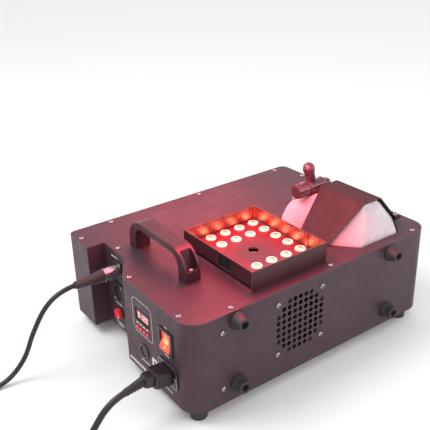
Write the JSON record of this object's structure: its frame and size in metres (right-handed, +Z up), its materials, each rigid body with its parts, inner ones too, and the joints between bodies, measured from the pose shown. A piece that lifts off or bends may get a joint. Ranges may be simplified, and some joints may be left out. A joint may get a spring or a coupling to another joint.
{
  "type": "fog machine",
  "caption": "Upward-blowing stage fog machine: low rounded black casing with a lit square collar round the nozzle, handle, strapped fluid tank, control panel, rubber feet and two plugged leads.",
  "frame": {"origin": "centre of the casing's and side feet's outline, on the surface the bottom feet stand on", "axes": "+X from the control panel to the tank end, +Y from the fan side to the far side, +Z up"},
  "size_m": [0.6789, 0.352, 0.222],
  "materials": {
    "casing_sheet": "fine-textured powder coat",
    "collar_sheet": "fine-textured powder coat",
    "strap_sheet": "fine-textured powder coat",
    "handle_plastic": "satin moulded",
    "foot_rubber": "matte rubber",
    "screw_steel": "bright plated",
    "plain_steel": "zinc plated",
    "alu": "plain",
    "led_board": "solder mask",
    "lens": "clear moulded lens",
    "brass": "turned",
    "tank_plastic": "translucent moulded",
    "dark_plastic": "moulded",
    "hose": "clear flexible hose",
    "insulation": "mineral wool",
    "board_green": "solder mask",
    "copper_winding": "taped winding",
    "electro_parts": "moulded",
    "window_red": "tinted window",
    "key_red": "moulded",
    "rocker_red": "lit moulded",
    "cap_red": "moulded",
    "socket_plastic": "moulded",
    "cable_pvc": "flexible PVC",
    "satin_nickel": "satin nickel"
  },
  "bodies": {
    "casing": {"base_plate": "casing_sheet", "side_shell": "casing_sheet", "top_plate": "casing_sheet", "bottom_feet": "foot_rubber", "side_feet": "foot_rubber", "foot_screws": "plain_steel", "pan_screws": "screw_steel", "handle": "handle_plastic", "handle_screws": "screw_steel", "led_collar": "collar_sheet", "led_heatsink": "alu", "led_board": "led_board", "led_lenses": "lens", "standoffs": "plain_steel", "nozzle": "brass", "tank": "tank_plastic", "tank_strap": "strap_sheet", "tap_seal": "foot_rubber", "tap_body": "dark_plastic", "port_nut": "dark_plastic", "vent_stub": "dark_plastic", "suction_hose": "hose", "hose_grommet": "foot_rubber", "heater_block": "alu", "heater_insulation": "insulation", "heater_case": "plain_steel", "thermostats": "dark_plastic", "pressure_pipe": "hose", "pump_body": "brass", "pump_coil": "plain_steel", "main_board": "board_green", "transformer": "copper_winding", "board_parts": "electro_parts", "led_power_supply": "alu", "display_board": "board_green", "display_window": "window_red", "power_switch_body": "socket_plastic", "fuse_holder": "socket_plastic", "remote_socket": "socket_plastic", "dmx_in_socket": "socket_plastic", "dmx_out_socket": "socket_plastic", "mains_inlet": "socket_plastic", "fan_frame": "dark_plastic", "mains_connector": "cable_pvc", "mains_lead": "cable_pvc", "mains_coil": "cable_pvc", "mains_plug": "cable_pvc", "dmx_connector": "satin_nickel", "dmx_lead": "cable_pvc", "dmx_coil": "cable_pvc", "dmx_end_connector": "satin_nickel"},
    "down_key_body": {"down_key": "key_red"},
    "enter_key_body": {"enter_key": "key_red"},
    "fan_rotor_body": {"fan_rotor": "dark_plastic"},
    "filler_cap_body": {"filler_cap": "dark_plastic"},
    "fuse_cap_body": {"fuse_cap": "cap_red"},
    "menu_key_body": {"menu_key": "key_red"},
    "power_rocker_body": {"power_rocker": "rocker_red"},
    "pump_plunger_body": {"pump_plunger": "plain_steel"},
    "up_key_body": {"up_key": "key_red"}
  },
  "joints": [
    {"name": "power_rocker_tilt", "type": "hinge", "parent": "casing", "child": "power_rocker_body", "pos_m": [-0.1975, -0.094, 0.098], "axis": [0, 1, 0], "range_deg": [-20, 0]},
    {"name": "fuse_cap_turn", "type": "hinge", "parent": "casing", "child": "fuse_cap_body", "pos_m": [-0.174, 0.0695, 0.042], "axis": [1, 0, 0], "range_deg": [0, 90]},
    {"name": "filler_cap_turn", "type": "hinge", "parent": "casing", "child": "filler_cap_body", "pos_m": [0.085, -0.0125, 0.183], "axis": [1, 0, 0], "continuous": true},
    {"name": "fan_spin", "type": "hinge", "parent": "casing", "child": "fan_rotor_body", "pos_m": [-0.0355, -0.1285, 0.085], "axis": [0, 1, 0], "continuous": true},
    {"name": "pump_stroke", "type": "slide", "parent": "casing", "child": "pump_plunger_body", "axis": [1, 0, 0], "range_m": [0, 0.003], "stiffness_N_per_m": 600, "springref_m": -0.001},
    {"name": "menu_key_press", "type": "slide", "parent": "casing", "child": "menu_key_body", "axis": [1, 0, 0], "range_m": [0, 0.001], "stiffness_N_per_m": 500, "springref_m": -0.0005},
    {"name": "down_key_press", "type": "slide", "parent": "casing", "child": "down_key_body", "axis": [1, 0, 0], "range_m": [0, 0.001], "stiffness_N_per_m": 500, "springref_m": -0.0005},
    {"name": "up_key_press", "type": "slide", "parent": "casing", "child": "up_key_body", "axis": [1, 0, 0], "range_m": [0, 0.001], "stiffness_N_per_m": 500, "springref_m": -0.0005},
    {"name": "enter_key_press", "type": "slide", "parent": "casing", "child": "enter_key_body", "axis": [1, 0, 0], "range_m": [0, 0.001], "stiffness_N_per_m": 500, "springref_m": -0.0005}
  ]
}
